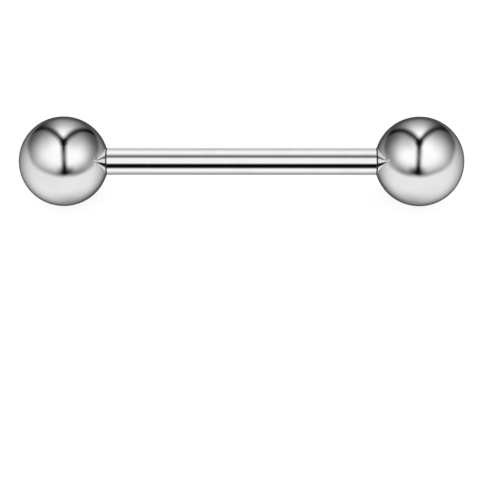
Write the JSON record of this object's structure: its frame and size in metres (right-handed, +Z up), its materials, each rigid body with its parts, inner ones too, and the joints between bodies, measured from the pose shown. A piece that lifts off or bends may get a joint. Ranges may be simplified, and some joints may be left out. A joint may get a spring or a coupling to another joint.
{
  "type": "tongue barbell",
  "caption": "Straight barbell for a tongue piercing: a slim polished steel bar with a threaded post at each end and a mirror-polished ball that screws onto each post.",
  "frame": {"origin": "on the surface that the barbell lies on, half-way between its balls and straight below the bar's axis", "axes": "+X along the bar towards ball_right, +Z up"},
  "size_m": [0.0264, 0.0052, 0.0053],
  "materials": {
    "bar_steel": "stainless steel, turned and polished bright, with no plating",
    "ball_steel": "stainless steel, tumbled to a mirror polish, with no plating"
  },
  "bodies": {
    "bar": {"bar": "bar_steel"},
    "ball_left": {"ball_left": "ball_steel"},
    "ball_right": {"ball_right": "ball_steel"}
  },
  "joints": [
    {"name": "ball_left_off", "type": "slide", "parent": "bar", "child": "ball_left", "axis": [-1, 0, 0], "range_m": [0, 0.02]},
    {"name": "ball_right_off", "type": "slide", "parent": "bar", "child": "ball_right", "axis": [1, 0, 0], "range_m": [0, 0.02]}
  ]
}
